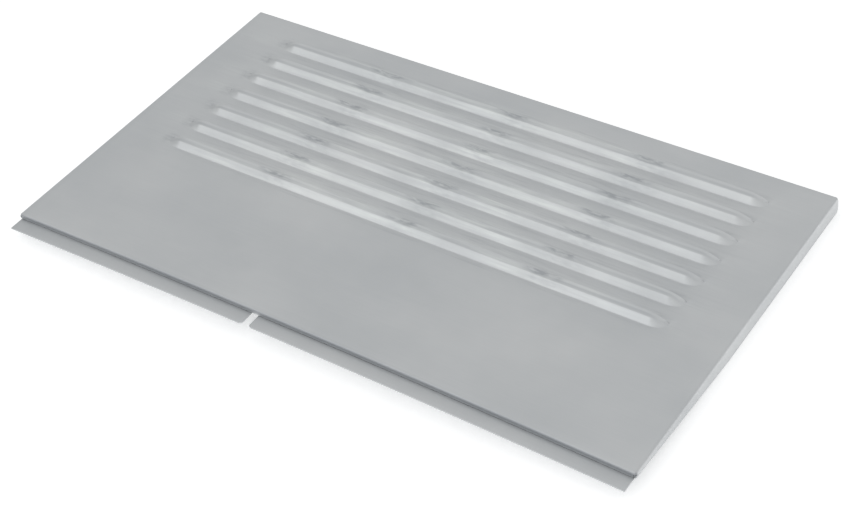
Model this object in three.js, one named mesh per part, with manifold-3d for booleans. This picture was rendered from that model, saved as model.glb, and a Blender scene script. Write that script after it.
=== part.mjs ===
// Louvred air grille: a folded sheet-metal panel with seven pressed louvres, two tongue strips
// under its front edge and two leaf catches inside its rear flange.
// Millimetres, +Z up. The panel lies face up on its flanges, tongues towards -Y.
// The origin is the centre of the bounding box's underside.

import * as THREE from 'three';
import { mergeVertices } from 'three/addons/utils/BufferGeometryUtils.js';
import Module from 'manifold-3d';

const wasm = await Module();
wasm.setup();

// ---- Driving dimensions ----
const WIDTH = 600;            // face, along X
const DEPTH = 340;            // face, along Y
const SHEET = 1.2;            // sheet thickness of panel and tongues
const FLANGE = 15.5;          // depth of the side and rear flanges below the face
const BEND = 2;               // outside radius of the folds round the face
const FIT = 0.3;              // clearance between separate pieces

const STEP = 5;               // drop from the face to the tongues
const TONGUE_REACH = 13.7;    // tongue ahead of the face's front edge
const TONGUE_LAP = 65;        // tongue strip under the face, behind the front edge
const TONGUE_ROWS = 6;        // facets of the bow in a tongue strip, front to back
const TONGUE_STATIONS = 12;   // the same along it
const NOTCH_X = -42;          // centre of the gap between the two tongue strips
const NOTCH_WIDTH = 7;
const NOTCH_RADIUS = 3;       // rounding of the two tongue corners at the gap

const TAPER_START = -25;      // the side flanges taper from here to the front edge
const FLANGE_RADIUS = 3.5;    // rounding of the flanges' lower corners

const CROWN = 4;              // upward bow of the front edge at mid width
const CROWN_START = -60;      // the bow fades out here, ahead of the louvres
const CROWN_STATIONS = 20;    // facets of the bow across the width
const CROWN_ROWS = 8;         // facets of the bow, front to back

const LOUVRES = 7;
const LOUVRE_PITCH = 27.1;
const LOUVRE_FIRST = -35.1;   // front foot of the louvre nearest the tongues
const LOUVRE_DRIFT = 0.9;     // each louvre sits this far to the right of the one in front
const LOUVRE_DEPTH = 9.5;     // front foot to lip, along Y
const LOUVRE_HEIGHT = 6.5;    // lip above the face
const LOUVRE_HALF = 249.5;    // half length of the slit
const END_ROUND = 17.5;       // the ends are rounded in plan over this length
const END_BLUNT = 2.5;        // exponent of that rounding
const END_FALL = 13.5;        // the knee comes down to the tip over this length
const LIP_FALL = 22;          // and the lip over this length
const LIP_BLUNT = 2;          // exponent of the lip's fall
const LIP_ROOT = 0.7;         // and the root taken of it
const END_STATIONS = [0.7, 2.5, 5, 9, 13.5, 17.5, 22]; // sections of an end, from its tip
const LOUVRE_END = 14;        // length of the sloping ends of the space under the hood
const LOUVRE_END_WALL = 2;    // the space under the hood stops this far short of the slit's ends
const TIP_INSIDE = 0.3;       // size of that space at its tip, as a share of the full section
const SLIT = 0.3;             // width of the lance cut behind the lip
const KNEE = [4.6, 4.8];      // knee of the hood: distance behind the foot, height
const KNEE_FLAT = 0.7;        // the knee's corner is cut back this far along both sides

const CATCH_X = [-205, 205];  // middle of each leaf catch
const CATCH_SHEET = 0.8;
const CATCH_HEIGHT = 8;
const CATCH_Z = -8;           // middle of the leaf, below the face
const CATCH_NOSE = 3;         // how far the nose stands out of the rear flange
const CATCH_LENGTH = 56;
const NOSE_START = 28;        // the leaf leaves the flange here, from the riveted end
const NOSE_TOP = 39;          // middle of the nose's flat crest
const NOSE_CREST = 3;         // length of that crest
const NOSE_END = 50;
const NOSE_SKEW = 0.35;       // keeps the leaf's thickness even round the crest
const LEAF_LIFT = 2;          // the leaf's free end stands this far off the flange
const LEAF_TIP = 3;
const WINDOW_CLEARANCE = 1.5; // round the nose, in the rear flange's window
const RIVETS = [6, 19];       // rivet places, from the riveted end
const RIVET_RADIUS = 1.6;
const RIVET_HEAD = 3.1;
const RIVET_HEAD_HEIGHT = 0.9;
const RIVET_DOME = [0.8, 0.7]; // shoulder of the head: share of its radius and of its height
const RIVET_CREST = 0.4;      // flat top of the head, as a share of its radius
const RIVET_TAIL = 2.4;       // radius of the set end
const RIVET_TAIL_CUT = 0.3;   // slope from the shank out to the set end
const RIVET_TAIL_REACH = 1.6;
const RIVET_TAIL_EDGE = 0.9;  // bevel round the set end

const ROUND_SIDES = 16;
const ARC_SIDES = 4;          // facets of a quarter circle
const OVERCUT = 1;            // cutting bodies run this far past the metal
const WELD = 1e-4;            // points closer than this are one point

const FRONT = -DEPTH / 2;
const REAR = DEPTH / 2;
const SIDE = WIDTH / 2;
const FLANGE_INSIDE = REAR - SHEET;
const BOX_SHIFT_Y = (TONGUE_REACH - CATCH_NOSE) / 2;

// ---- Solids ----

function solid(geometry) {
  const bare = geometry.clone();
  bare.deleteAttribute('normal');
  bare.deleteAttribute('uv');
  const merged = mergeVertices(bare, WELD);
  const vertProperties = new Float32Array(merged.attributes.position.array);
  const triVerts = new Uint32Array(merged.index.array);
  return new wasm.Manifold(new wasm.Mesh({ numProp: 3, vertProperties, triVerts }));
}

function geometryOf(body) {
  const mesh = body.getMesh();
  const geometry = new THREE.BufferGeometry();
  geometry.setAttribute('position', new THREE.BufferAttribute(new Float32Array(mesh.vertProperties), 3));
  geometry.setIndex(new THREE.BufferAttribute(new Uint32Array(mesh.triVerts), 1));
  geometry.computeVertexNormals();
  return geometry;
}

function block(low, high) {
  const size = high.map((value, k) => value - low[k]);
  const geometry = new THREE.BoxGeometry(...size);
  geometry.translate(...low.map((value, k) => value + size[k] / 2));
  return solid(geometry);
}

// A closed body through the sections at each x. A section is a counter-clockwise outline of
// [y, z] points seen from +X, with the same number of points at every x.
function loft(stations, sectionAt) {
  const positions = [];
  const index = [];
  const sections = stations.map(sectionAt);
  const count = sections[0].length;
  stations.forEach((x, i) => sections[i].forEach(([y, z]) => positions.push(x, y, z)));
  for (let i = 0; i < stations.length - 1; i += 1) {
    for (let j = 0; j < count; j += 1) {
      const a = i * count + j;
      const d = i * count + ((j + 1) % count);
      index.push(a, d, d + count, a, d + count, a + count);
    }
  }
  const cap = (i, flip) => {
    const outline = sections[i].map(([y, z]) => new THREE.Vector2(y, z));
    for (const [p, q, r] of THREE.ShapeUtils.triangulateShape(outline, [])) {
      const corner = flip ? [p, r, q] : [p, q, r];
      index.push(...corner.map((k) => i * count + k));
    }
  };
  cap(0, true);
  cap(stations.length - 1, false);
  const geometry = new THREE.BufferGeometry();
  geometry.setAttribute('position', new THREE.Float32BufferAttribute(positions, 3));
  geometry.setIndex(index);
  return geometry;
}

function steps(from, to, count) {
  return Array.from({ length: count + 1 }, (_, i) => from + ((to - from) * i) / count);
}

// ---- The bow of the front edge ----

function crown(x, y) {
  const across = 1 - (x / SIDE) ** 2;
  const along = Math.max(0, (CROWN_START - Math.max(y, FRONT)) / (CROWN_START - FRONT));
  return CROWN * across * along ** 2;
}

function bowed(x, outline) {
  return outline.map(([y, z]) => [y, z + crown(x, y)]);
}

// ---- Face panel ----

// The front stretch of the face with its short folded front edge.
function frontApron() {
  const join = CROWN_START + OVERCUT;
  const rows = steps(FRONT + SHEET, CROWN_START, CROWN_ROWS);
  const foot = -STEP + FIT;
  const outline = [
    [FRONT, foot],
    [FRONT + SHEET, foot],
    ...rows.map((y) => [y, -SHEET]),
    [join, -SHEET],
    [join, 0],
    ...rows.map((y) => [y, 0]).reverse(),
    [FRONT, 0],
  ];
  return solid(loft(steps(-SIDE, SIDE, CROWN_STATIONS), (x) => bowed(x, outline)));
}

function sideFlange(inner, outer) {
  const tip = -STEP;
  const outline = new THREE.Shape();
  outline.moveTo(FRONT, 0);
  outline.lineTo(FRONT, tip);
  outline.lineTo(TAPER_START, -FLANGE);
  outline.lineTo(REAR - FLANGE_RADIUS, -FLANGE);
  outline.absarc(REAR - FLANGE_RADIUS, FLANGE_RADIUS - FLANGE, FLANGE_RADIUS, -Math.PI / 2, 0, false);
  outline.lineTo(REAR, 0);
  const points = outline.extractPoints(ARC_SIDES).shape.map((p) => [p.x, p.y]);
  return solid(loft([inner, outer], () => points));
}

function rearFlange() {
  const end = SIDE - SHEET - FIT;
  const arc = end - FLANGE_RADIUS;
  const low = FLANGE_RADIUS - FLANGE;
  const outline = new THREE.Shape();
  outline.moveTo(-end, 0);
  outline.absarc(-arc, low, FLANGE_RADIUS, Math.PI, 1.5 * Math.PI, false);
  outline.absarc(arc, low, FLANGE_RADIUS, -Math.PI / 2, 0, false);
  outline.lineTo(end, 0);
  const options = { depth: SHEET, bevelEnabled: false, curveSegments: ARC_SIDES };
  const geometry = new THREE.ExtrudeGeometry(outline, options);
  geometry.rotateX(Math.PI / 2);
  geometry.translate(0, REAR, 0);
  return solid(geometry);
}

// What the folds' outside radius takes off a sharp edge. The edge runs along X at y = reach.
function roundOver(reach, stations, bow) {
  const arc = steps(Math.PI / 2, 0, ARC_SIDES).map((angle) => [
    reach - BEND + BEND * Math.cos(angle),
    -BEND + BEND * Math.sin(angle),
  ]);
  const outer = reach + OVERCUT;
  const outline = [[outer, -BEND], [outer, OVERCUT], [reach - BEND, OVERCUT], ...arc];
  const turned = outline.map(([y, z]) => [-y, z]).reverse();
  return solid(loft(stations, (x) => (bow ? bowed(x, turned) : outline)));
}

function roundEdges(body) {
  const along = [-SIDE - OVERCUT, SIDE + OVERCUT];
  const bowStations = [along[0], ...steps(-SIDE, SIDE, CROWN_STATIONS), along[1]];
  const side = roundOver(SIDE, [-REAR - OVERCUT, REAR + OVERCUT], false);
  return body
    .subtract(roundOver(REAR, along, false))
    .subtract(roundOver(-FRONT, bowStations, true))
    .subtract(side.rotate([0, 0, 90]))
    .subtract(side.rotate([0, 0, -90]));
}

// The hood's outer line: foot, knee and lip. Each share runs from 0 at the louvre's tip to 1.
function hoodLine(slit, plan, ridge = plan, lip = plan) {
  const foot = slit - LOUVRE_DEPTH * plan;
  const knee = slit - (LOUVRE_DEPTH - KNEE[0]) * ridge;
  return [[foot, 0], [knee, KNEE[1] * ridge], [slit, LOUVRE_HEIGHT * lip]];
}

// The point on the way from one point to another, that far from the first.
function towards([y, z], [toY, toZ], distance) {
  const share = distance / Math.hypot(toY - y, toZ - z);
  return [y + (toY - y) * share, z + (toZ - z) * share];
}

// The same line moved into the metal by one sheet thickness, with mitred corners.
function insideOf(line) {
  const normals = line.slice(1).map(([y, z], i) => {
    const run = [y - line[i][0], z - line[i][1]];
    const length = Math.hypot(...run);
    return [run[1] / length, -run[0] / length];
  });
  return line.map(([y, z], i) => {
    const before = normals[Math.max(i - 1, 0)];
    const after = normals[Math.min(i, normals.length - 1)];
    const mitre = 1 + before[0] * after[0] + before[1] * after[1];
    return [y + (SHEET * (before[0] + after[0])) / mitre, z + (SHEET * (before[1] + after[1])) / mitre];
  });
}

// A share that grows from 0 at the tip to 1 at that length from it, along a rounded curve.
function roundedShare(fromTip, length, blunt, root) {
  const past = Math.max(0, 1 - fromTip / length);
  return (1 - past ** blunt) ** root;
}

function hoodSize(x, half) {
  return Math.min(1, (half - Math.abs(x)) / LOUVRE_END);
}

function hoodStations(half, tipSize) {
  const tip = half - LOUVRE_END * tipSize;
  const shoulder = half - LOUVRE_END;
  return [-tip, -shoulder, shoulder, tip];
}

function hoodOutside(slit) {
  const half = END_STATIONS.map((fromTip) => LOUVRE_HALF - fromTip);
  return solid(loft([...half.map((x) => -x), ...half.reverse()], (x) => {
    const fromTip = LOUVRE_HALF - Math.abs(x);
    const plan = roundedShare(fromTip, END_ROUND, END_BLUNT, 1 / END_BLUNT);
    const ridge = Math.min(1, fromTip / END_FALL);
    const lipShare = roundedShare(fromTip, LIP_FALL, LIP_BLUNT, LIP_ROOT);
    const [foot, knee, lip] = hoodLine(slit, plan, ridge, lipShare);
    const cut = KNEE_FLAT * ridge;
    const top = [lip, towards(knee, lip, cut), towards(knee, foot, cut)];
    return [[foot[0], -SHEET], [slit, -SHEET], ...top, foot];
  }));
}

// The space under the hood, which runs out through the sheet and through the mouth at its rear.
function hoodInside(slit) {
  const half = LOUVRE_HALF - LOUVRE_END_WALL;
  const below = -SHEET - OVERCUT;
  const mouth = slit + SLIT;
  return solid(loft(hoodStations(half, TIP_INSIDE), (x) => {
    const line = insideOf(hoodLine(slit, hoodSize(x, half)));
    const [, lip] = line[line.length - 1];
    line[line.length - 1] = [mouth, lip];
    return [[line[0][0], below], [mouth, below], ...line.reverse()];
  }));
}

function catchWindow(x) {
  const low = CATCH_Z - CATCH_HEIGHT / 2 - WINDOW_CLEARANCE / 2;
  const high = CATCH_Z + CATCH_HEIGHT / 2 + WINDOW_CLEARANCE / 2;
  const start = x - CATCH_LENGTH / 2;
  return block(
    [start + NOSE_START - WINDOW_CLEARANCE, FLANGE_INSIDE - OVERCUT, low],
    [start + NOSE_END + WINDOW_CLEARANCE, REAR + OVERCUT, high],
  );
}

function rivetPlaces(x) {
  return RIVETS.map((along) => x - CATCH_LENGTH / 2 + along);
}

function rivetHole(x) {
  const radius = RIVET_RADIUS + FIT;
  const from = FLANGE_INSIDE - FIT - CATCH_SHEET - OVERCUT;
  const to = REAR + OVERCUT;
  const geometry = new THREE.CylinderGeometry(radius, radius, to - from, ROUND_SIDES);
  geometry.translate(x, (from + to) / 2, CATCH_Z);
  return solid(geometry);
}

function facePanel() {
  let body = block([-SIDE, CROWN_START, -SHEET], [SIDE, REAR, 0]);
  body = body.add(frontApron());
  body = body.add(sideFlange(-SIDE, SHEET - SIDE));
  body = body.add(sideFlange(SIDE - SHEET, SIDE));
  body = body.add(rearFlange());
  body = roundEdges(body);
  for (let i = 0; i < LOUVRES; i += 1) {
    const slit = LOUVRE_FIRST + LOUVRE_PITCH * i + LOUVRE_DEPTH;
    const place = [LOUVRE_DRIFT * i, 0, 0];
    body = body.add(hoodOutside(slit).translate(place));
    body = body.subtract(hoodInside(slit).translate(place));
  }
  for (const x of CATCH_X) {
    body = body.subtract(catchWindow(x));
    for (const place of rivetPlaces(x)) {
      body = body.subtract(rivetHole(place));
    }
  }
  return geometryOf(body);
}

// ---- Tongue strips ----

// A joggled strip: its rear part lies under the face, its front part stands out as the tongue.
function tongueStrip(from, to, notchEnd) {
  const riser = FRONT + SHEET + FIT;
  const lapTop = -SHEET - FIT;
  const rows = steps(riser + SHEET, FRONT + TONGUE_LAP, TONGUE_ROWS);
  const corner = (x) => {
    const inset = Math.max(0, NOTCH_RADIUS - Math.abs(x - notchEnd));
    return NOTCH_RADIUS - Math.sqrt(NOTCH_RADIUS ** 2 - inset ** 2);
  };
  const section = (x) => {
    const tip = FRONT - TONGUE_REACH + corner(x);
    return bowed(x, [
      [tip, -STEP - SHEET],
      [riser + SHEET, -STEP - SHEET],
      ...rows.map((y) => [y, lapTop - SHEET]),
      ...rows.map((y) => [y, lapTop]).reverse(),
      [riser, lapTop],
      [riser, -STEP],
      [tip, -STEP],
    ]);
  };
  const inward = Math.sign(from + to - 2 * notchEnd);
  const quarter = steps(0, Math.PI / 2, ARC_SIDES).map((angle) => NOTCH_RADIUS * (1 - Math.cos(angle)));
  const rounded = quarter.map((distance) => notchEnd + inward * distance);
  const far = inward > 0 ? to : from;
  const plain = steps(rounded[rounded.length - 1], far, TONGUE_STATIONS).slice(1);
  const stations = [...rounded, ...plain].sort((a, b) => a - b);
  return loft(stations, section);
}

// ---- Leaf catches and their rivets ----

// A flat strip bent to a snap nose, riveted at one end inside the rear flange.
// The outline is drawn as distance along the flange and distance inwards from its inner face.
function leafCatch(x) {
  const nose = -SHEET - CATCH_NOSE;
  const skew = [0, 0, NOSE_SKEW, -NOSE_SKEW, 0, 0];
  const near = [
    [0, FIT],
    [NOSE_START, FIT],
    [NOSE_TOP - NOSE_CREST / 2, nose],
    [NOSE_TOP + NOSE_CREST / 2, nose],
    [NOSE_END, FIT + LEAF_LIFT],
    [CATCH_LENGTH, FIT + LEAF_TIP],
  ];
  const far = near.map(([along, inward], i) => [along + skew[i], inward + CATCH_SHEET]);
  const outline = new THREE.Shape([...near, ...far.reverse()].map((point) => new THREE.Vector2(...point)));
  const geometry = new THREE.ExtrudeGeometry(outline, { depth: CATCH_HEIGHT, bevelEnabled: false });
  geometry.scale(1, -1, -1);
  geometry.translate(x - CATCH_LENGTH / 2, FLANGE_INSIDE, CATCH_Z + CATCH_HEIGHT / 2);
  let body = solid(geometry);
  for (const place of rivetPlaces(x)) {
    body = body.subtract(rivetHole(place));
  }
  return geometryOf(body);
}

function rivet() {
  const outside = REAR + FIT;
  const inside = FLANGE_INSIDE - FIT - CATCH_SHEET - FIT;
  const tail = inside - RIVET_TAIL_REACH;
  const top = outside + RIVET_HEAD_HEIGHT;
  const profile = [
    [0, tail],
    [RIVET_TAIL - RIVET_TAIL_EDGE, tail],
    [RIVET_TAIL, inside - RIVET_TAIL_EDGE],
    [RIVET_TAIL, inside - RIVET_TAIL_CUT],
    [RIVET_RADIUS, inside],
    [RIVET_RADIUS, outside],
    [RIVET_HEAD, outside],
    [RIVET_HEAD * RIVET_DOME[0], outside + RIVET_HEAD_HEIGHT * RIVET_DOME[1]],
    [RIVET_HEAD * RIVET_CREST, top],
    [0, top],
  ];
  return new THREE.LatheGeometry(profile.map((point) => new THREE.Vector2(...point)), ROUND_SIDES);
}

// ---- Materials ----

function finish(color, roughness, metalness) {
  return new THREE.MeshStandardMaterial({ color, roughness, metalness });
}

const sheetFinish = () => finish(0xb4b7b8, 0.42, 1);
const springFinish = () => finish(0xa6a8a9, 0.3, 1);
const rivetFinish = () => finish(0xc4c6c8, 0.45, 1);

// ---- Assembly ----

const grille = new THREE.Group();
grille.position.set(0, BOX_SHIFT_Y, FLANGE);

function place(name, geometry, material) {
  const mesh = new THREE.Mesh(geometry, material);
  mesh.name = name;
  grille.add(mesh);
  return mesh;
}

const tongueEnd = SIDE - SHEET - FIT;
const notchLeft = NOTCH_X - NOTCH_WIDTH / 2;
const notchRight = NOTCH_X + NOTCH_WIDTH / 2;

place('face_panel', facePanel(), sheetFinish());
place('tongue_left', tongueStrip(-tongueEnd, notchLeft, notchLeft), sheetFinish());
place('tongue_right', tongueStrip(notchRight, tongueEnd, notchRight), sheetFinish());

CATCH_X.forEach((x, side) => {
  const hand = side ? 'right' : 'left';
  place(`catch_${hand}`, leafCatch(x), springFinish());
  rivetPlaces(x).forEach((along, i) => {
    const mesh = place(`catch_rivet_${hand}_${i + 1}`, rivet(), rivetFinish());
    mesh.position.set(along, 0, CATCH_Z);
  });
});

export default grille;
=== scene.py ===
"""Looks of a louvred air grille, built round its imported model. Metres, +Z up.

Shapes are worked out in millimetres, measured from the middle of the panel's flat face, and
turned into the frame's metres as each mesh is made.
"""

import math
import random

import bmesh
import bpy
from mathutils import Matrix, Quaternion, Vector, noise


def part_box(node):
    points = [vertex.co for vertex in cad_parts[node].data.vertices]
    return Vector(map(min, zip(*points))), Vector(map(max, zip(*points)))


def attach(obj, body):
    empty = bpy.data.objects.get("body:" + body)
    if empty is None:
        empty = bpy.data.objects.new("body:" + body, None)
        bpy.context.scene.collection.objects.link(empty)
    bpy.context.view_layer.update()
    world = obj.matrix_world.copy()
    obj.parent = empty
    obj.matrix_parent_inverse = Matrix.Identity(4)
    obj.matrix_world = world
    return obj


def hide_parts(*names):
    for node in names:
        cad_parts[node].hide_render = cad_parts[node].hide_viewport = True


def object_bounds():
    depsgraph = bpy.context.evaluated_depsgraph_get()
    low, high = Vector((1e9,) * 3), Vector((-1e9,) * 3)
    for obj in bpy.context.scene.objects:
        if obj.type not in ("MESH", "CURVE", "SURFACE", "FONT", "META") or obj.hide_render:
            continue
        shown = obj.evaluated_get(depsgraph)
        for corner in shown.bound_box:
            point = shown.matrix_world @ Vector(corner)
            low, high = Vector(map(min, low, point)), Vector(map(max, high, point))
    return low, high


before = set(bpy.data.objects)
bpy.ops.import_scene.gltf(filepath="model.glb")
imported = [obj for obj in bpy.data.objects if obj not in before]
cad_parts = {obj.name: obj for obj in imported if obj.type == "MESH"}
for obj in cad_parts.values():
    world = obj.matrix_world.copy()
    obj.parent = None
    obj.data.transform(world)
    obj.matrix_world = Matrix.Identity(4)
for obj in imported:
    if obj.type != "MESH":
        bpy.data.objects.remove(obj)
CAD_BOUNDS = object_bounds()
MM = 0.001
TINY = 1e-6
random.seed(7)

# ---- Sizes, in millimetres ----

SHEET = 1.2
FIT = 0.3                     # clearance between separate pieces
LOUVRE_HEIGHT = 6.5           # lip of a louvre above the face
PANEL_LOW, PANEL_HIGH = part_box("face_panel")
SIDE = PANEL_HIGH.x / MM
DEPTH = (PANEL_HIGH.y - PANEL_LOW.y) / MM
FRONT, REAR = -DEPTH / 2, DEPTH / 2
FLANGE = (PANEL_HIGH.z - PANEL_LOW.z) / MM - LOUVRE_HEIGHT
FLANGE_INSIDE = REAR - SHEET
FACE_CENTRE = Vector((0, (PANEL_LOW.y + PANEL_HIGH.y) / 2, PANEL_LOW.z + FLANGE * MM))

STEP = 5                      # drop from the face to the tongues
TAPER_START = -25             # the side flanges taper from here to the front edge
BEND = 2                      # outside radius of the folds
CORNER = 3.5                  # rounding of the flanges' lower corners
CROWN = 4                     # upward bow of the front edge at mid width
CROWN_START = -60             # the bow fades out here
TONGUE_LAP = 65               # tongue strip under the face, behind the front edge

WAVES = (                     # unevenness of the sheet
    dict(height=0.10, length=110, width=80, seed=3.1),
    dict(height=0.04, length=35, width=30, seed=8.2),
)
LAP_DENT = 0.05               # the tongues' rear edge shows through the face this deep
LAP_DENT_WIDTH = 3.0
FLAT_MARGIN = 20              # the unevenness fades out over this distance from the edges

LOUVRES = 7
PITCH = 27.1
FIRST_FOOT = -35.1            # front foot of the louvre nearest the tongues
DRIFT = 0.9                   # each louvre sits this far to the right of the one in front
HOOD_DEPTH = 9.5              # front foot to lip
SLIT = 0.3                    # width of the cut behind the lip
SLIT_CLOSE = 4                # the slit narrows to nothing over this length
TIP = 249                     # half length of the slit
DRIFT_WHOLE = TIP + 1         # the drift fades out from here to the side bends
NOSE = 17.5                   # the end of a hood is rounded in plan over this length
BLUNT = 2.5                   # exponent of that rounding
FALL = 13.5                   # its ridge comes down over this length
FALL_SWELL = 0.05             # the fall starts with a soft swell, as a share of the section
LIP_FALL = 22                 # its lip comes down over this length
LIP_BLUNT, LIP_ROOT = 2, 0.7  # shape of the lip's fall
RIDGE = (4.6, 4.8)            # behind the foot, above the face
FOOT_LEAD = 2.2               # flat stretch ahead of the foot
FOOT_RADIUS = 1.6
RIDGE_RADIUS = 1.3

HITS = (-129, 5, 139)         # where two strokes of the press meet
HIT_LENGTH = 8                # the dent left there fades out over this length
RIDGE_DIP = 0.3               # depth of that dent at the ridge
LIP_DIP = 1.2                 # and at the lip
HIT_UNEVEN = 1.5              # each dent is out of line by up to this
HIT_SHIFT = [[random.uniform(-HIT_UNEVEN, HIT_UNEVEN) for _ in HITS] for _ in range(LOUVRES)]

TONGUE_REACH = 13.7           # tongue ahead of the face's front edge
TONGUE_END = SIDE - SHEET - FIT
NOTCH_X = -42                 # centre of the gap between the two tongue strips
NOTCH_WIDTH = 7
NOTCH_RADIUS = 3              # rounding of the tongues' corners at the gap
NOTCH_LEFT = NOTCH_X - NOTCH_WIDTH / 2
NOTCH_RIGHT = NOTCH_X + NOTCH_WIDTH / 2
JOGGLE_RADII = (1.0, 1.3)     # rounding of the step's two bends
TONGUE_EDGE = 0.15            # bevel round the strip

CATCH_X = (-205, 205)
CATCH_SHEET = 0.8
CATCH_HEIGHT = 8
CATCH_Z = -8                  # middle of the leaf, below the face
CATCH_NOSE = 3                # how far the nose stands out of the rear flange
CATCH_LENGTH = 56
NOSE_START, NOSE_TOP, NOSE_END = 28, 39, 50
LEAF_LIFT, LEAF_TIP = 2, 3    # the free end of the leaf stands this far off the flange
LEAF_RADII = (9, 2.6, 4)      # rounding of the leaf's three bends
LEAF_CORNER = 2               # rounding of its ends
LEAF_EDGE = 0.12              # bevel round it
WINDOW_CLEARANCE = 1.5        # round the nose, in the rear flange's window
WINDOW_RADIUS = 1.2
OVERCUT = 1                   # cutting bodies run this far past the metal
DRILL_REACH = 6               # the drill for the leaf starts this far inside the flange

RIVETS = (6, 19)              # places along the leaf, from its riveted end
RIVET_RADIUS = 1.6
RIVET_HEAD = 3.1
HEAD_EDGE = 0.1               # the head's rim is cut back this far underneath
# Outlines of a rivet: radius, and distance inwards from the leaf.
RIVET_TAIL_LINE = ((0, 1.6), (1.5, 1.6), (2.4, 0.9), (2.4, 0.3), (RIVET_RADIUS, 0))
RIVET_TAIL_RADII = (0.4, 0.4, 0.3)
# Radius, and height above the flange. The pin's stub stands inside the dome.
RIVET_DOME_LINE = ((RIVET_HEAD, HEAD_EDGE), (RIVET_HEAD, 0.35), (1.5, 0.9), (1.15, 0.85))
RIVET_DOME_RADII = (0.3, 0.6)
RIVET_PIN_LINE = ((0.95, 0.5), (0.85, 0.5), (0.8, 0.68), (0, 0.75))

# ---- Mesh density ----

ARC = 4                       # segments of a bend
TAIL_ARC = 3
LEAF_ARC = 8
ROUND_SIDES = 24
RIVET_SIDES = 40
APRON_ROWS = 22               # ahead of the first louvre
GAP_ROWS = 4                  # between two louvres
FRONT_ROWS = 3                # on the sloping front of a hood
TOP_ROWS = 4                  # on its top
NOSE_COLUMNS = 16
FALL_COLUMNS = 3
MARGIN_COLUMNS = 8
MIDDLE_COLUMNS = 74
HIT_COLUMNS = 14
HIT_ZONE = 20                 # half length of the finer stretch round a dent
HIT_CLEAR = 22                # plain columns keep this far from the dent
NOTCH_COLUMNS = 6
TONGUE_COLUMNS = 40
TONGUE_ROWS = 3
LAP_ROWS = 10
LEAF_SPACING = 2.5
LEAF_LINES = (-1, -0.85, -0.5, 0, 0.5, 0.85, 1)                         # shares of the half height
SIDE_FLANGE_LINES = (0.12, 0.3, 0.5, 0.7, 0.8, 0.88, 0.94, 0.98, 1.0)   # shares of the depth
END_FLANGE_LINES = (0.15, 0.35, 0.55, 0.75, 0.86, 0.94, 0.98, 1.0)
PULL_ZONE = 14                # a flange's mesh lines shift over this length to meet its ends
PLACE_DIGITS = 5              # places that agree to this many decimals share a vertex

# Edges that turn by more than these angles, in degrees, stay sharp.
PANEL_SHARP, STRIP_SHARP, RIVET_SHARP = 42, 40, 50
BEVEL_ANGLE = 60


def to_frame(x, y, z):
    return FACE_CENTRE + Vector((x, y, z)) * MM


def steps(low, high, count):
    return [low + (high - low) * i / count for i in range(count + 1)]


def smooth(value):
    value = min(1.0, max(0.0, value))
    return value * value * (3 - 2 * value)


# ---- Mesh helpers ----


def new_piece(name, mesh, material, nodes):
    piece = bpy.data.objects.new(name, mesh)
    bpy.context.scene.collection.objects.link(piece)
    mesh.materials.clear()
    mesh.materials.append(material)
    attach(piece, "root")
    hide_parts(*nodes)
    return piece


def loose_object(name, bm):
    mesh = bpy.data.meshes.new(name)
    bm.to_mesh(mesh)
    bm.free()
    piece = bpy.data.objects.new(name, mesh)
    bpy.context.scene.collection.objects.link(piece)
    return piece


def applied(piece, sharp_degrees):
    """Replaces a loose object by the mesh that its modifiers give."""
    graph = bpy.context.evaluated_depsgraph_get()
    mesh = bpy.data.meshes.new_from_object(piece.evaluated_get(graph))
    bpy.data.objects.remove(piece)
    mesh.shade_smooth()
    mesh.set_sharp_from_angle(angle=math.radians(sharp_degrees))
    return mesh


def thicken(piece, thickness, even=True):
    """Gives a surface its sheet thickness, inwards."""
    solid = piece.modifiers.new("sheet", "SOLIDIFY")
    solid.thickness = thickness * MM
    solid.offset = -1
    solid.use_even_offset = even


def break_edges(piece, width):
    edge = piece.modifiers.new("edge", "BEVEL")
    edge.width = width * MM
    edge.segments = 2
    edge.limit_method = "ANGLE"
    edge.angle_limit = math.radians(BEVEL_ANGLE)


def cut_out(piece, cutter):
    holes = piece.modifiers.new("holes", "BOOLEAN")
    holes.object = cutter
    holes.operation = "DIFFERENCE"
    holes.solver = "EXACT"


def add_face(bm, vertices):
    """A face through its different vertices, or none where they are only a line."""
    corners = list(dict.fromkeys(vertices))
    if len(corners) > 2:
        bm.faces.new(corners)


def add_strip(bm, grid, flipped=False):
    """Faces over a grid of vertices."""
    for low, high in zip(grid, grid[1:]):
        for corners in zip(low, high, high[1:], low[1:]):
            bm.faces.new(corners[::-1] if flipped else corners)


def rounded(points, radii, count):
    """A polyline with its inner corners replaced by curves of count segments."""
    most = 0.45               # share of a stretch that one corner may take up
    line = [Vector(points[0])]
    for before, at, after, radius in zip(points, points[1:], points[2:], radii):
        at = Vector(at)
        back = Vector(before) - at
        ahead = Vector(after) - at
        half = back.angle(ahead) / 2
        reach = min(radius / math.tan(half), most * back.length, most * ahead.length)
        start = at + back.normalized() * reach
        end = at + ahead.normalized() * reach
        for t in steps(0, 1, count):
            line.append(start * (1 - t) ** 2 + at * 2 * t * (1 - t) + end * t ** 2)
    line.append(Vector(points[-1]))
    return line


def prism(bm, outline, y_low, y_high):
    """A closed body from an outline in (x, z), between two planes across y."""
    near = [bm.verts.new(to_frame(x, y_low, z)) for x, z in outline]
    far = [bm.verts.new(to_frame(x, y_high, z)) for x, z in outline]
    bm.faces.new(near)
    bm.faces.new(far[::-1])
    for i in range(len(outline)):
        j = (i + 1) % len(outline)
        bm.faces.new((near[j], near[i], far[i], far[j]))


def circle(count):
    return [2 * math.pi * i / count for i in range(count)]


def round_outline(x, z, radius):
    return [(x + radius * math.cos(a), z + radius * math.sin(a)) for a in circle(ROUND_SIDES)]


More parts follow.
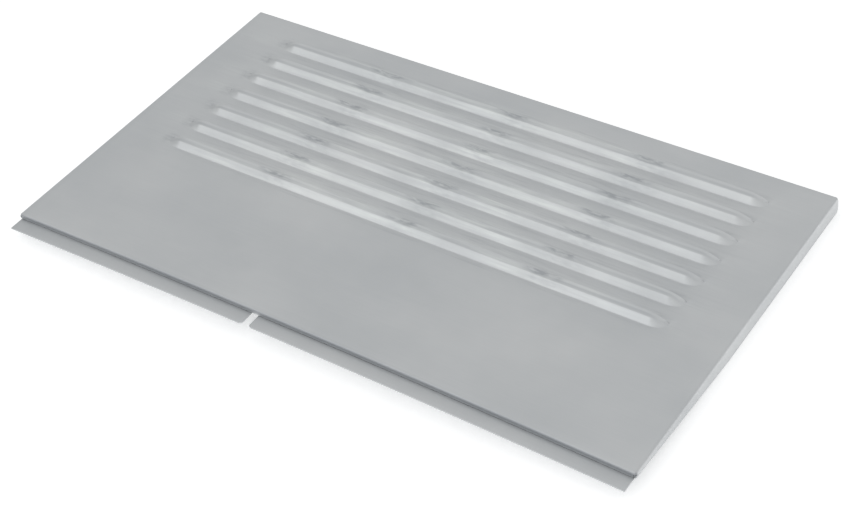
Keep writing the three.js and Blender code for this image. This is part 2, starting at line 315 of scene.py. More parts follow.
def box_outline(x_low, x_high, z_low, z_high, radius):
    points = []
    for corner_x, corner_z, start in (
        (x_high - radius, z_high - radius, 0),
        (x_low + radius, z_high - radius, 90),
        (x_low + radius, z_low + radius, 180),
        (x_high - radius, z_low + radius, 270),
    ):
        for degrees in steps(start, start + 90, ARC):
            turn = math.radians(degrees)
            points.append((corner_x + radius * math.cos(turn), corner_z + radius * math.sin(turn)))
    return points


# ---- Face panel: its heights ----


def crown(x, y):
    across = 1 - (x / SIDE) ** 2
    along = max(0.0, (CROWN_START - max(y, FRONT)) / (CROWN_START - FRONT))
    return CROWN * across * along ** 2


def waviness(x, y):
    """The slight unevenness of thin sheet, and the tongues' rear edge showing through."""
    height = 0.0
    for wave in WAVES:
        place = Vector((x / wave["length"], y / wave["width"], wave["seed"]))
        height += wave["height"] * noise.noise(place)
    height -= math.exp(-((y - FRONT - TONGUE_LAP) / LAP_DENT_WIDTH) ** 2) * LAP_DENT
    margin = min(1.0, (SIDE - abs(x)) / FLAT_MARGIN, (REAR - abs(y)) / FLAT_MARGIN)
    return height * smooth(margin)


def face_height(x, y):
    return crown(x, y) + waviness(x, y)


def drifted(x, y):
    """x moved to the right with each louvre, fading out towards the sides."""
    louvre = min(LOUVRES - 1, max(0.0, (y - FIRST_FOOT) / PITCH))
    fade = min(1.0, (SIDE - BEND - abs(x)) / (SIDE - BEND - DRIFT_WHOLE))
    return x + DRIFT * louvre * fade


# ---- Face panel: its hoods ----


def hood_size(x):
    """Depth of the hood in plan, as a share of the full one."""
    past = (abs(x) - TIP + NOSE) / NOSE
    return max(0.0, 1 - past ** BLUNT) ** (1 / BLUNT) if past > 0 else 1.0


def ridge_size(x):
    """Size of the section up to the ridge: a straight fall to the tip from a soft crease."""
    past = max(0.0, (abs(x) - TIP + FALL) / FALL)
    return max(0.0, 1 - past) + FALL_SWELL * math.sin(math.pi * min(1.0, past))


def lip_size(x):
    past = (abs(x) - TIP + LIP_FALL) / LIP_FALL
    return max(0.0, 1 - past ** LIP_BLUNT) ** LIP_ROOT if past > 0 else 1.0


def hit_mark(x, louvre):
    """1 where two press strokes meet, fading out on both sides."""
    gaps = [x - hit - shift for hit, shift in zip(HITS, HIT_SHIFT[louvre])]
    return max(math.exp(-(gap / HIT_LENGTH) ** 2) for gap in gaps)


def hood_line(x, louvre):
    """The hood's outside from just before its foot to its lip, as (y, z) from the slit."""
    size = hood_size(x)
    share = ridge_size(x)
    dip = hit_mark(x, louvre)
    foot = -HOOD_DEPTH * size
    ridge = ((RIDGE[0] - HOOD_DEPTH) * share, (RIDGE[1] - RIDGE_DIP * dip) * share)
    lip = (0, LOUVRE_HEIGHT * lip_size(x) - LIP_DIP * dip)
    corners = [(foot - FOOT_LEAD * size, 0), (foot, 0), ridge, lip]
    line = rounded(corners, (FOOT_RADIUS * size, RIDGE_RADIUS * size), ARC)
    front_start, front_end = line[ARC + 1], line[ARC + 2]
    top_start, lip_end = line[-2], line[-1]
    front = [front_start.lerp(front_end, t) for t in steps(0, 1, FRONT_ROWS)][1:-1]
    top = [top_start.lerp(lip_end, t) for t in steps(0, 1, TOP_ROWS)][1:-1]
    return line[: ARC + 2] + front + line[ARC + 2 : -1] + top + [lip_end]


# ---- Face panel: its mesh ----


def on_louvre(x):
    return abs(x) < TIP - TINY


def panel_columns():
    """Where the mesh lines that run front to back cross the face, in x."""
    quarter = [math.sin(math.radians(a)) for a in steps(0, 90, NOSE_COLUMNS)]
    nose = [TIP - NOSE + NOSE * reach for reach in quarter]
    fall = steps(TIP - LIP_FALL, TIP - NOSE, FALL_COLUMNS)[:-1]
    half = fall + nose + steps(TIP, SIDE - BEND, MARGIN_COLUMNS)[1:]
    middle = set(steps(-TIP + LIP_FALL, TIP - LIP_FALL, MIDDLE_COLUMNS)[1:-1])
    for hit in HITS:
        middle = {x for x in middle if abs(x - hit) > HIT_CLEAR}
        middle |= set(steps(hit - HIT_ZONE, hit + HIT_ZONE, HIT_COLUMNS))
    return sorted({-x for x in half} | set(half) | middle)


def panel_rows(x):
    """(y, z, whether it is the slit's rear edge) from the front bend to the rear one, at one x."""
    rows = []
    start = FRONT + BEND
    for louvre in range(LOUVRES):
        slit = FIRST_FOOT + PITCH * louvre + HOOD_DEPTH
        if on_louvre(x):
            line = [tuple(p + Vector((slit, 0))) for p in hood_line(x, louvre)]
            behind = slit + SLIT * min(1.0, (TIP - abs(x)) / SLIT_CLOSE)
        else:
            line = [(slit, 0.0)] * len(hood_line(0, louvre))
            behind = slit
        plain = steps(start, line[0][0], APRON_ROWS if louvre == 0 else GAP_ROWS)
        rows += [(y, 0.0, False) for y in plain[(0 if louvre == 0 else 1) : -1]]
        rows += [(y, z, False) for y, z in line]
        rows.append((behind, 0.0, True))
        start = behind
    rows += [(y, 0.0, False) for y in steps(start, REAR - BEND, GAP_ROWS)[1:]]
    return rows


def flange_depth(y):
    if y >= TAPER_START:
        return FLANGE
    t = (TAPER_START - y) / (TAPER_START - FRONT)
    return FLANGE + (STEP - FLANGE) * t


def corner_inset(depth, full):
    """How far a flange's rounded lower corner draws its end in, at a depth below the face."""
    into = depth - (full - CORNER)
    return CORNER - math.sqrt(max(0.0, CORNER ** 2 - into ** 2)) if into > 0 else 0.0


def pulled(value, low, high, new_low, new_high):
    """Stretches the last stretch at each end of low..high so that it ends at the new limits."""
    if value > high - PULL_ZONE:
        past = value - high + PULL_ZONE
        return high - PULL_ZONE + past * (new_high - high + PULL_ZONE) / PULL_ZONE
    if value < low + PULL_ZONE:
        past = value - low - PULL_ZONE
        return low + PULL_ZONE + past * (new_low - low - PULL_ZONE) / -PULL_ZONE
    return value


def bend_angles():
    return steps(0, math.pi / 2, ARC)[1:]


def side_bend_column(sign, angle, rows):
    reach = SIDE - BEND + BEND * math.sin(angle)
    return [(sign * reach, y, -BEND + BEND * math.cos(angle)) for y, _, _ in rows]


def side_flange_column(sign, share, rows):
    """Places along a side flange, that share of the way down from the bend to its lower edge."""
    column = []
    for y, _, _ in rows:
        depth = BEND + share * (flange_depth(y) - BEND)
        rear_inset = corner_inset(depth, flange_depth(y))
        place = pulled(y, FRONT + BEND, REAR - BEND, FRONT + FIT, REAR - FIT - rear_inset)
        depth = BEND + share * (flange_depth(place) - BEND)
        column.append((sign * SIDE, place, -depth))
    return column


def side_columns(sign, rows):
    """From the face's edge outwards and down: the bend, then the flange."""
    bends = [side_bend_column(sign, angle, rows) for angle in bend_angles()]
    return bends + [side_flange_column(sign, share, rows) for share in SIDE_FLANGE_LINES]


def shared_vertices(bm, columns):
    """A grid of vertices in which equal places are one vertex."""
    known = {}
    grid = []
    for column in columns:
        line = []
        for place in column:
            key = tuple(round(value, PLACE_DIGITS) for value in place)
            if key not in known:
                known[key] = bm.verts.new(to_frame(*place))
            line.append(known[key])
        grid.append(line)
    return grid


def panel_surface():
    xs = panel_columns()
    rows_at = [panel_rows(x) for x in xs]
    face = [
        [(drifted(x, y), y, z + face_height(x, y)) for y, z, _ in rows]
        for x, rows in zip(xs, rows_at)
    ]
    left = side_columns(-1, rows_at[0])
    right = side_columns(1, rows_at[-1])
    bm = bmesh.new()
    grid = shared_vertices(bm, left[::-1] + face + right)
    first_face = len(left)
    open_rows = [j - 1 for j, (_, _, behind_slit) in enumerate(rows_at[0]) if behind_slit]
    on_hoods = [first_face + i for i, x in enumerate(xs) if on_louvre(x)]
    open_columns = range(on_hoods[0] - 1, on_hoods[-1] + 1)
    for i, (low, high) in enumerate(zip(grid, grid[1:])):
        for j in range(len(low) - 1):
            if not (i in open_columns and j in open_rows):
                add_face(bm, (low[j], high[j], high[j + 1], low[j + 1]))
    add_end_flange(bm, grid, xs, first_face, FRONT)
    add_end_flange(bm, grid, xs, first_face, REAR)
    return bm


def add_end_flange(bm, grid, xs, first_face, edge):
    """The front or rear bend and flange, hung from the first or last row of the face."""
    at_rear = edge > 0
    sign = 1 if at_rear else -1
    row = -1 if at_rear else 0
    full = FLANGE if at_rear else STEP - FIT
    lines = [[grid[first_face + i][row] for i in range(len(xs))]]
    for angle in bend_angles():
        y = edge + sign * BEND * (math.sin(angle) - 1)
        drop = BEND * (math.cos(angle) - 1)
        lines.append([bm.verts.new(to_frame(x, y, drop + crown(x, y))) for x in xs])
    for share in END_FLANGE_LINES:
        depth = BEND + share * (full - BEND)
        inset = corner_inset(depth, full) if at_rear else 0.0
        end = SIDE - BEND
        places = [pulled(x, -end, end, -end + inset, end - inset) for x in xs]
        lines.append([bm.verts.new(to_frame(x, edge, crown(x, edge) - depth)) for x in places])
    for low, high in zip(lines, lines[1:]):
        for corners in zip(low, low[1:], high[1:], high):
            bm.faces.new(corners if at_rear else corners[::-1])
    left_bend = [grid[first_face - 1 - i][row] for i in range(ARC)]
    right_bend = [grid[first_face + len(xs) + i][row] for i in range(ARC)]
    add_corner(bm, [line[0] for line in lines], left_bend, -1, sign)
    add_corner(bm, [line[-1] for line in lines], right_bend, 1, sign)


def add_corner(bm, end_bend, side_bend, side, sign):
    """An eighth of a ball that closes the face's corner between two bends.

    The end bend's vertices start at the face's corner, and the side bend's one step below it.
    """
    centre_x = side * (SIDE - BEND)
    centre_y = sign * (REAR - BEND)
    turns = bend_angles()[:-1]
    rings = []
    for k, angle in enumerate(bend_angles()):
        reach = BEND * math.sin(angle)
        drop = BEND * (math.cos(angle) - 1)
        line = [end_bend[k + 1]]
        for turn in turns:
            x = centre_x + side * reach * math.sin(turn)
            y = centre_y + sign * reach * math.cos(turn)
            line.append(bm.verts.new(to_frame(x, y, drop)))
        line.append(side_bend[k])
        rings.append(line)
    faces = [(end_bend[0], a, b) for a, b in zip(rings[0], rings[0][1:])]
    for inner, outer in zip(rings, rings[1:]):
        faces += list(zip(inner, outer, outer[1:], inner[1:]))
    for corners in faces:
        face = bm.faces.new(corners)
        face.normal_update()
        if face.normal.z < 0:
            face.normal_flip()


def flange_cutter():
    """The catches' windows and the rivets' holes in the rear flange."""
    bm = bmesh.new()
    low = CATCH_Z - CATCH_HEIGHT / 2 - WINDOW_CLEARANCE / 2
    high = CATCH_Z + CATCH_HEIGHT / 2 + WINDOW_CLEARANCE / 2
    for x in CATCH_X:
        start = x - CATCH_LENGTH / 2
        left = start + NOSE_START - WINDOW_CLEARANCE
        right = start + NOSE_END + WINDOW_CLEARANCE
        outline = box_outline(left, right, low, high, WINDOW_RADIUS)
        prism(bm, outline, FLANGE_INSIDE - OVERCUT, REAR + OVERCUT)
    for x in [place for catch in CATCH_X for place in rivet_places(catch)]:
        hole = round_outline(x, CATCH_Z, RIVET_RADIUS + FIT)
        prism(bm, hole, FLANGE_INSIDE - OVERCUT, REAR + OVERCUT)
    return loose_object("cutter", bm)


def face_panel():
    panel = loose_object("panel", panel_surface())
    cutter = flange_cutter()
    thicken(panel, SHEET)
    cut_out(panel, cutter)
    mesh = applied(panel, PANEL_SHARP)
    bpy.data.objects.remove(cutter)
    return mesh


# ---- Tongue strips ----


def tongue_strip(start, end, notch_end):
    """A joggled strip. Its mesh lines run along it, and a solidify gives the sheet."""
    riser = FRONT + SHEET + FIT
    lap = -SHEET - FIT
    inward = 1 if start == notch_end else -1
    quarter = [1 - math.cos(math.radians(a)) for a in steps(0, 90, NOTCH_COLUMNS)]
    corner_xs = [notch_end + inward * NOTCH_RADIUS * reach for reach in quarter]
    far = end if inward > 0 else start
    plain = steps(corner_xs[-1], far, TONGUE_COLUMNS)[1:]
    bm = bmesh.new()
    grid = []
    for x in sorted(corner_xs + plain):
        inset = max(0.0, NOTCH_RADIUS - abs(x - notch_end))
        drawn_in = NOTCH_RADIUS - math.sqrt(NOTCH_RADIUS ** 2 - inset ** 2)
        tip = FRONT - TONGUE_REACH + drawn_in
        corners = [(tip, -STEP), (riser, -STEP), (riser, lap), (FRONT + TONGUE_LAP, lap)]
        profile = rounded(corners, JOGGLE_RADII, ARC)
        front = [profile[0].lerp(profile[1], t) for t in steps(0, 1, TONGUE_ROWS)][:-1]
        rear = [profile[-2].lerp(profile[-1], t) for t in steps(0, 1, LAP_ROWS)][1:]
        line = front + profile[1:-1] + rear
        grid.append([bm.verts.new(to_frame(x, y, z + crown(x, y))) for y, z in line])
    add_strip(bm, grid)
    piece = loose_object("tongue", bm)
    thicken(piece, SHEET)
    break_edges(piece, TONGUE_EDGE)
    return applied(piece, STRIP_SHARP)


# ---- Leaf catches and rivets ----


def rivet_places(catch_x):
    return [catch_x - CATCH_LENGTH / 2 + along for along in RIVETS]


def leaf_line():
    """The bent leaf seen from above, as (along the flange, inwards from its inner face)."""
    corners = [
        (0, FIT),
        (NOSE_START, FIT),
        (NOSE_TOP, -SHEET - CATCH_NOSE),
        (NOSE_END, FIT + LEAF_LIFT),
        (CATCH_LENGTH, FIT + LEAF_TIP),
    ]
    coarse = rounded(corners, LEAF_RADII, LEAF_ARC)
    line = []
    for before, after in zip(coarse, coarse[1:]):
        count = max(1, round((after - before).length / LEAF_SPACING))
        line += [before.lerp(after, t) for t in steps(0, 1, count)[:-1]]
    return line + [coarse[-1]]


def leaf_drill(catch_x):
    bm = bmesh.new()
    for place in rivet_places(catch_x):
        hole = round_outline(place, CATCH_Z, RIVET_RADIUS + FIT)
        prism(bm, hole, FLANGE_INSIDE - DRILL_REACH, REAR)
    return loose_object("drill", bm)


def leaf_catch(catch_x):
    start = catch_x - CATCH_LENGTH / 2
    half = CATCH_HEIGHT / 2
    bm = bmesh.new()
    grid = []
    for along, inward in leaf_line():
        past = max(0.0, LEAF_CORNER - min(along, CATCH_LENGTH - along))
        inset = LEAF_CORNER - math.sqrt(max(0.0, LEAF_CORNER ** 2 - past ** 2))
        y = FLANGE_INSIDE - inward
        heights = [CATCH_Z + share * (half - inset) for share in LEAF_LINES]
        grid.append([bm.verts.new(to_frame(start + along, y, z)) for z in heights])
    add_strip(bm, grid, flipped=True)
    piece = loose_object("leaf", bm)
    thicken(piece, CATCH_SHEET, even=False)
    break_edges(piece, LEAF_EDGE)
    drill = leaf_drill(catch_x)
    cut_out(piece, drill)
    mesh = applied(piece, STRIP_SHARP)
    bpy.data.objects.remove(drill)
    return mesh


def rivet(x):
    """A blind rivet with a domed head outside, the stub of its pin, and a set end inside."""
    outside = REAR + FIT
    inside = FLANGE_INSIDE - FIT - CATCH_SHEET - FIT
    tail = [(radius, inside - reach) for radius, reach in RIVET_TAIL_LINE]
    dome = [(radius, outside + height) for radius, height in RIVET_DOME_LINE]
    profile = rounded(tail, RIVET_TAIL_RADII, TAIL_ARC)
    profile += [(RIVET_RADIUS, outside), (RIVET_HEAD - HEAD_EDGE, outside)]
    profile += rounded(dome, RIVET_DOME_RADII, ARC)
    profile += [(radius, outside + height) for radius, height in RIVET_PIN_LINE]
    bm = bmesh.new()
    lines = []
    for radius, y in profile:
        if radius < TINY:
            lines.append([bm.verts.new(to_frame(x, y, CATCH_Z))] * RIVET_SIDES)
            continue
        lines.append([
            bm.verts.new(to_frame(x + radius * math.cos(a), y, CATCH_Z + radius * math.sin(a)))
            for a in circle(RIVET_SIDES)
        ])
    for low, high in zip(lines, lines[1:]):
        for i in range(RIVET_SIDES):
            j = (i + 1) % RIVET_SIDES
            add_face(bm, (low[i], low[j], high[j], high[i]))
    bmesh.ops.recalc_face_normals(bm, faces=bm.faces)
    return applied(loose_object("rivet", bm), RIVET_SHARP)


# ---- Materials: node helpers ----


def nodes_of(name):
    material = bpy.data.materials.new(name)
    material.use_nodes = True
    tree = material.node_tree
    return material, tree, tree.nodes["Principled BSDF"]


def node(tree, kind, **settings):
    made = tree.nodes.new(kind)
    for key, value in settings.items():
        setattr(made, key, value)
    return made


def stretched_noise(tree, stretch, scale, detail, seed):
    """Noise over the object's own coordinates, pulled out along x by unequal stretch."""
    place = node(tree, "ShaderNodeTexCoord")
    mapping = node(tree, "ShaderNodeMapping")
    mapping.inputs["Scale"].default_value = stretch
    mapping.inputs["Location"].default_value = (seed, seed * 0.7, seed * 1.3)
    texture = node(tree, "ShaderNodeTexNoise")
    texture.inputs["Scale"].default_value = scale
    texture.inputs["Detail"].default_value = detail
    tree.links.new(place.outputs["Object"], mapping.inputs["Vector"])
    tree.links.new(mapping.outputs["Vector"], texture.inputs["Vector"])
    return texture.outputs["Fac"]


def spread(tree, value, low, high, at_low, at_high):
    """A value's range low..high turned into at_low..at_high, and held outside it."""
    ranged = node(tree, "ShaderNodeMapRange")
    ranged.inputs["From Min"].default_value = low
    ranged.inputs["From Max"].default_value = high
    ranged.inputs["To Min"].default_value = at_low
    ranged.inputs["To Max"].default_value = at_high
    tree.links.new(value, ranged.inputs["Value"])
    return ranged.outputs["Result"]


def maths(tree, operation, a, b=0.0):
    made = node(tree, "ShaderNodeMath", operation=operation)
    for socket, value in zip(made.inputs, (a, b)):
        if isinstance(value, (int, float)):
            socket.default_value = value
        else:
            tree.links.new(value, socket)
    return made.outputs[0]


def total(tree, first, *rest):
    for term in rest:
        first = maths(tree, "ADD", first, term)
    return first


def product(tree, first, *rest):
    for factor in rest:
        first = maths(tree, "MULTIPLY", first, factor)
    return first


def near_value(tree, value, centre, width):
    """1 round the centre, falling to 0 at width on both sides."""
    core = 0.35               # share of the width over which it stays 1
    gap = maths(tree, "ABSOLUTE", maths(tree, "SUBTRACT", value, centre))
    return spread(tree, gap, core * width, width, 1.0, 0.0)


def noise_mask(tree, stretch, scale, detail, seed, low, high, least=0.0, most=1.0):
    return spread(tree, stretched_noise(tree, stretch, scale, detail, seed), low, high, least, most)


def tinted(tree, colour, amount, shade):
    """A colour multiplied by a shade where the amount is 1."""
    mix = node(tree, "ShaderNodeMix", data_type="RGBA", blend_type="MULTIPLY")
    tree.links.new(amount, mix.inputs["Factor"])
    tree.links.new(colour, mix.inputs["A"])
    mix.inputs["B"].default_value = (*shade, 1)
    return mix.outputs["Result"]


# ---- Materials: press marks, painted shade and painted highlight. Places are in millimetres. ----

# Dark smears where press strokes meet, and painted shade at the hood ends: x and reach along it, distance
# behind a louvre's foot and reach, strength.
SMEARS_AND_END_SHADE = [
    *[(hit - 1, 19, 11, 6.5, 1.0) for hit in HITS],
    *[(hit + 3, 26, 5, 9, 0.3) for hit in HITS],
    # painted shade on the hoods' left ends and the sheet beside them
    (-TIP - 1, 9, 9, 11, 0.35),
    # painted shadow that the hoods' right ends cast on the sheet behind them
    (TIP - 18, 20, 13.5, 5, 0.4),
]
RAGGED = dict(stretch=(1, 3.5, 2), scale=120, detail=5, seed=51.3, low=0.38, high=0.62, least=0.1)
MARKS_AND_SHADE_FROM = FIRST_FOOT - 5                       # y limits of the marks and painted shade
MARKS_AND_SHADE_TO = FIRST_FOOT + PITCH * LOUVRES - 6

RIDGE_SHADE = dict(centre=RIDGE[0] + 1.6, width=1.7)     # painted shade, a dark line just behind a ridge
RIDGE_SHADE_STRENGTH = 0.38
RIDGE_SHADE_GROWS = (90, 240)      # it is weak up to here and whole from there
RIDGE_SHADE_LEAST = 0.3
RIDGE_SHADE_ENDS = (TIP - 16, TIP - 4)

# Painted shadow on the sheet behind each lip, in streaky patches.
LIP_SHADOW_STREAKS = dict(stretch=(1, 16, 8), scale=26, detail=5, seed=92.4, low=0.5, high=0.72, most=0.4)
LIP_SHADOW_ALONG = dict(centre=0, width=300)
LIP_SHADOW_ACROSS = dict(centre=15, width=17)

# Painted highlight on the hoods and the strips between them, in streaky patches.
STREAKS = dict(stretch=(1, 22, 14), scale=20, detail=5, seed=77.7, low=0.38, high=0.62)
PATCHES = dict(stretch=(1, 1.6, 1), scale=22, detail=3, seed=63.1, low=0.35, high=0.65, least=0.25)
HIGHLIGHT_ALONG = dict(centre=-15, width=300)
HIGHLIGHT_ACROSS = dict(centre=7, width=16)
HIGHLIGHT_FROM = FIRST_FOOT - 2                      # y limits of the painted highlight
HIGHLIGHT_TO = FIRST_FOOT + PITCH * LOUVRES

# Painted shade in the inside corner under the front fold, over the fold's bend and onto the tongues.
CORNER_SHADE_Y = dict(centre=FRONT + 0.4, width=2.8)
CORNER_SHADE_TOP = (-0.9, -0.05)      # heights from the bowed face over which the painted shade fades out upwards
CORNER_SHADE_FOOT = (-4.4, -2.6)      # and over which it gets weaker downwards
CORNER_SHADE_LEAST = 0.3

# tint for the press marks and the painted shade on the louvres
MARK_AND_SHADE_TINT = (0.7, 0.71, 0.73)
# tint for the painted highlight on the hoods
HIGHLIGHT_TINT = (1.16, 1.17, 1.14)
# painted shade for the front corner
PAINTED_CORNER_SHADE = (0.58, 0.59, 0.61)


def face_place(tree):
    """x, y and z of the shaded point in millimetres from the middle of the face."""
    place = node(tree, "ShaderNodeTexCoord")
    split = node(tree, "ShaderNodeSeparateXYZ")
    tree.links.new(place.outputs["Object"], split.inputs[0])
    return [
        product(tree, maths(tree, "SUBTRACT", split.outputs[axis], centre), 1 / MM)
        for axis, centre in zip("XYZ", FACE_CENTRE)
    ]


def louvre_place(tree):
    """x along the nearest louvre, y, and the distance behind its foot."""
    x, y, _ = face_place(tree)
    last = LOUVRES - 1
    shift = spread(tree, y, FIRST_FOOT, FIRST_FOOT + PITCH * last, 0.0, DRIFT * last)
    behind = maths(tree, "MODULO", maths(tree, "SUBTRACT", y, FIRST_FOOT - PITCH), PITCH)
    return maths(tree, "SUBTRACT", x, shift), y, behind


def between(tree, value, low, high):
    return product(tree, maths(tree, "GREATER_THAN", value, low), maths(tree, "LESS_THAN", value, high))


def dark_patch(tree, x, behind, centre_x, reach_x, centre_behind, reach_behind, strength):
    across = near_value(tree, behind, centre_behind, reach_behind)
    return product(tree, near_value(tree, x, centre_x, reach_x), across, strength)


def press_marks_and_painted_shade(tree):
    """How dark the sheet is: press marks round the joins of its strokes, and painted shade at the hood
    ends, behind the ridges and behind the lips.
    """
    x, y, behind = louvre_place(tree)
    smears_and_shade = total(tree, *[dark_patch(tree, x, behind, *place) for place in SMEARS_AND_END_SHADE])
    smears_and_shade = product(tree, smears_and_shade, noise_mask(tree, **RAGGED))
    out_from_middle = maths(tree, "ABSOLUTE", x)
    outer = spread(tree, out_from_middle, *RIDGE_SHADE_GROWS, RIDGE_SHADE_LEAST, 1.0)
    inner = spread(tree, out_from_middle, *RIDGE_SHADE_ENDS, 1.0, 0.0)
    # painted shade behind the ridges, strongest towards the hood ends
    ridge_shade = product(tree, near_value(tree, behind, **RIDGE_SHADE), outer, inner, RIDGE_SHADE_STRENGTH)
    # painted shadow behind the lips
    lip_shadow = noise_mask(tree, **LIP_SHADOW_STREAKS)
    lip_shadow = product(tree, lip_shadow, near_value(tree, x, **LIP_SHADOW_ALONG), near_value(tree, behind, **LIP_SHADOW_ACROSS))
    field = between(tree, y, MARKS_AND_SHADE_FROM, MARKS_AND_SHADE_TO)
    return product(tree, total(tree, smears_and_shade, ridge_shade, lip_shadow), field)


def hood_highlight(tree):
    """Painted highlight on the hoods and the strips between them, in streaky patches."""
    x, y, behind = louvre_place(tree)
    field = product(tree, between(tree, y, HIGHLIGHT_FROM, HIGHLIGHT_TO), near_value(tree, x, **HIGHLIGHT_ALONG))
    streaks = product(tree, noise_mask(tree, **STREAKS), noise_mask(tree, **PATCHES))
    return product(tree, field, streaks, near_value(tree, behind, **HIGHLIGHT_ACROSS))


def front_corner_shade(tree):
    """Painted shade in the inside corner between the front fold and the tongues, over the fold's bend too.
    """
    x, y, z = face_place(tree)
    across = maths(tree, "DIVIDE", x, SIDE)
    bow = total(tree, product(tree, across, across, -CROWN), CROWN)
    level = maths(tree, "SUBTRACT", z, bow)
    below = spread(tree, level, *CORNER_SHADE_TOP, 1.0, 0.0)
    above = spread(tree, level, *CORNER_SHADE_FOOT, CORNER_SHADE_LEAST, 1.0)
    return product(tree, below, near_value(tree, y, **CORNER_SHADE_Y), above)


# ---- Materials: metal and floor ----

CLOUDS = dict(stretch=(1, 1.4, 1), scale=9, detail=4)
ROLLING = dict(stretch=(1, 60, 60), scale=16, detail=3)
SMUDGES = dict(stretch=(1, 1, 1), scale=28, detail=6)
SCRATCHES = dict(stretch=(2, 300, 40), scale=9, detail=2)
CLOUD_TONE, ROLLING_TONE = 0.7, 0.3                # shares of the tone
TONE_RANGE = (0.35, 0.65)
NOISE_RANGE = (0.3, 0.7)
SCRATCH_RANGE = (0.7, 0.78)                         # only the noise's peaks are scratches
SMUDGE_GLOSS, ROLLING_GLOSS, SCRATCH_GLOSS = 0.04, 0.025, 0.07
ROLLING_HEIGHT, SCRATCH_HEIGHT = 0.8, 0.3          # shares of the bump
BUMP_DISTANCE = 0.04 * MM


def metal(name, dark, light, roughness, grain, seed, marks_and_painted_light=False):
    """Bare mill-finish metal: cloudy tone, rolling grain along x, smudges and fine scratches.

    Metal for the panel and tongues also has the marks of the press, painted shade on the louvres and in the
    front corner, and a painted highlight on the hoods.
    """
    material, tree, shader = nodes_of(name)
    shader.inputs["Metallic"].default_value = 1.0
    clouds = stretched_noise(tree, **CLOUDS, seed=seed)
    rolling = stretched_noise(tree, **ROLLING, seed=seed + 2)
    smudges = stretched_noise(tree, **SMUDGES, seed=seed + 5)
    scratches = stretched_noise(tree, **SCRATCHES, seed=seed + 9)

    tone = total(tree, product(tree, clouds, CLOUD_TONE), product(tree, rolling, ROLLING_TONE))
    ramp = node(tree, "ShaderNodeValToRGB")
    for stop, position, colour in zip(ramp.color_ramp.elements, TONE_RANGE, (dark, light)):
        stop.position = position
        stop.color = (*colour, 1)
    tree.links.new(tone, ramp.inputs["Fac"])
    colour = ramp.outputs["Color"]
    if marks_and_painted_light:
        colour = tinted(tree, colour, press_marks_and_painted_shade(tree), MARK_AND_SHADE_TINT)
        # painted highlight on the hoods
        colour = tinted(tree, colour, hood_highlight(tree), HIGHLIGHT_TINT)
        # painted shade in the front corner
        colour = tinted(tree, colour, front_corner_shade(tree), PAINTED_CORNER_SHADE)
    tree.links.new(colour, shader.inputs["Base Color"])

    rough = spread(tree, smudges, *NOISE_RANGE, roughness - SMUDGE_GLOSS, roughness + SMUDGE_GLOSS)
    rough = total(tree, rough, spread(tree, rolling, *NOISE_RANGE, -ROLLING_GLOSS, ROLLING_GLOSS))
    shine = spread(tree, scratches, *SCRATCH_RANGE, 0.0, SCRATCH_GLOSS)
    tree.links.new(maths(tree, "SUBTRACT", rough, shine), shader.inputs["Roughness"])

    height = total(
        tree, product(tree, rolling, ROLLING_HEIGHT), product(tree, scratches, SCRATCH_HEIGHT)
    )
    bump = node(tree, "ShaderNodeBump")
    bump.inputs["Strength"].default_value = grain
    bump.inputs["Distance"].default_value = BUMP_DISTANCE
    tree.links.new(height, bump.inputs["Height"])
    tree.links.new(bump.outputs["Normal"], shader.inputs["Normal"])
    return material


FLOOR_WHITE = (0.93, 0.93, 0.93, 1)
FLOOR_GLOW = 0.36


def pale_floor():
    material, _, shader = nodes_of("floor")
    shader.inputs["Roughness"].default_value = 0.9
    shader.inputs["Specular IOR Level"].default_value = 0.1
    shader.inputs["Base Color"].default_value = FLOOR_WHITE
    shader.inputs["Emission Color"].default_value = (1, 1, 1, 1)
    shader.inputs["Emission Strength"].default_value = FLOOR_GLOW
    return material


SHEET_METAL = metal(
    "sheet_metal", dark=(0.585, 0.6, 0.61), light=(0.64, 0.65, 0.655),
    roughness=0.5, grain=0.35, seed=1.7, marks_and_painted_light=True,
)
TONGUE_METAL = metal(
    "tongue_metal", dark=(0.575, 0.59, 0.6), light=(0.63, 0.64, 0.645),
    roughness=0.5, grain=0.35, seed=11.3, marks_and_painted_light=True,
)
SPRING_METAL = metal(
    "spring_metal", dark=(0.5, 0.51, 0.53), light=(0.57, 0.58, 0.6),
    roughness=0.3, grain=0.12, seed=21.9,
)
RIVET_METAL = metal(
    "rivet_metal", dark=(0.66, 0.67, 0.68), light=(0.72, 0.73, 0.74),
    roughness=0.38, grain=0.4, seed=31.1,
)

# ---- Pieces ----

new_piece("panel_sheet", face_panel(), SHEET_METAL, ["face_panel"])
LEFT_STRIP = tongue_strip(-TONGUE_END, NOTCH_LEFT, NOTCH_LEFT)
RIGHT_STRIP = tongue_strip(NOTCH_RIGHT, TONGUE_END, NOTCH_RIGHT)
new_piece("tongue_sheet_left", LEFT_STRIP, TONGUE_METAL, ["tongue_left"])
new_piece("tongue_sheet_right", RIGHT_STRIP, TONGUE_METAL, ["tongue_right"])
for hand, catch_x in zip(("left", "right"), CATCH_X):
    new_piece(f"leaf_{hand}", leaf_catch(catch_x), SPRING_METAL, [f"catch_{hand}"])
    for number, place in enumerate(rivet_places(catch_x), 1):
        end = f"{hand}_{number}"
        new_piece(f"rivet_{end}", rivet(place), RIVET_METAL, [f"catch_rivet_{end}"])

# ---- Floor, light and camera ----

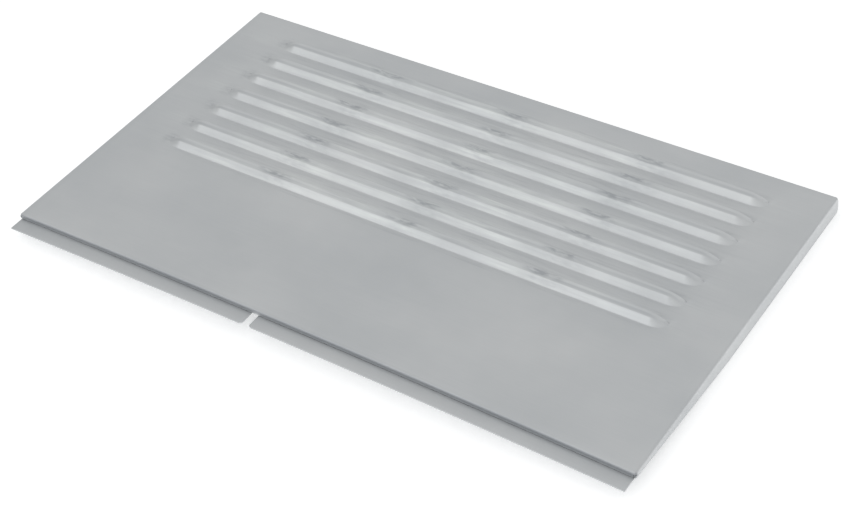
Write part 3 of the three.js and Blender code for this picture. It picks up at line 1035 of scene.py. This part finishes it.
FLOOR_HALF = 4.0              # metres
FLOOR_GAP = 0.2 * MM          # below the panel's flanges
ROOM_TINT = (0.985, 0.995, 1.0, 1)
ROOM_LIGHT = 0.65
SOFT_PATCHES = (              # towards x, y, z; how narrow; how much brighter
    ((-0.30, -0.80, 0.55), 6.0, 0.76),
    ((-0.35, 0.45, 0.85), 3.0, 0.13),
    ((0.5, 0.1, 0.85), 4.0, 0.08),
    ((-0.95, 0.1, 0.15), 5.0, -0.1),
)
CAMERA_AZIMUTH = math.radians(38.51)
CAMERA_ELEVATION = math.radians(41.67)
CAMERA_ROLL = math.radians(6.97)
CAMERA_TARGET = to_frame(39.9, -49.15, 0)
CAMERA_DISTANCE = 1.4465      # metres
CAMERA_LENS = 75.7
CAMERA_SENSOR = 36


def make_floor():
    bm = bmesh.new()
    bmesh.ops.create_grid(bm, x_segments=8, y_segments=8, size=FLOOR_HALF)
    floor = loose_object("floor", bm)
    floor.location.z = CAD_BOUNDS[0][2] - FLOOR_GAP
    floor.data.materials.append(pale_floor())


def studio_world():
    """An even room with broad soft brighter patches."""
    world = bpy.data.worlds.new("studio")
    bpy.context.scene.world = world
    world.use_nodes = True
    tree = world.node_tree
    place = node(tree, "ShaderNodeTexCoord")
    light = ROOM_LIGHT
    for direction, narrow, gain in SOFT_PATCHES:
        dot = node(tree, "ShaderNodeVectorMath", operation="DOT_PRODUCT")
        dot.inputs[1].default_value = Vector(direction).normalized()
        tree.links.new(place.outputs["Generated"], dot.inputs[0])
        patch = maths(tree, "POWER", maths(tree, "MAXIMUM", dot.outputs["Value"], 0.0), narrow)
        light = total(tree, light, product(tree, patch, gain))
    background = tree.nodes["Background"]
    tree.links.new(light, background.inputs["Strength"])
    background.inputs["Color"].default_value = ROOM_TINT


def make_camera():
    back = Vector((
        math.sin(CAMERA_AZIMUTH) * math.cos(CAMERA_ELEVATION),
        -math.cos(CAMERA_AZIMUTH) * math.cos(CAMERA_ELEVATION),
        math.sin(CAMERA_ELEVATION),
    ))
    turn = (-back).to_track_quat("-Z", "Y")
    camera = bpy.data.cameras.new("camera")
    camera.lens = CAMERA_LENS
    camera.sensor_width = CAMERA_SENSOR
    holder = bpy.data.objects.new("camera", camera)
    bpy.context.scene.collection.objects.link(holder)
    holder.rotation_mode = "QUATERNION"
    holder.rotation_quaternion = turn @ Quaternion((0, 0, 1), -CAMERA_ROLL)
    holder.location = CAMERA_TARGET + back * CAMERA_DISTANCE
    bpy.context.scene.camera = holder


make_floor()
studio_world()
make_camera()
bpy.context.scene.view_settings.view_transform = "Standard"
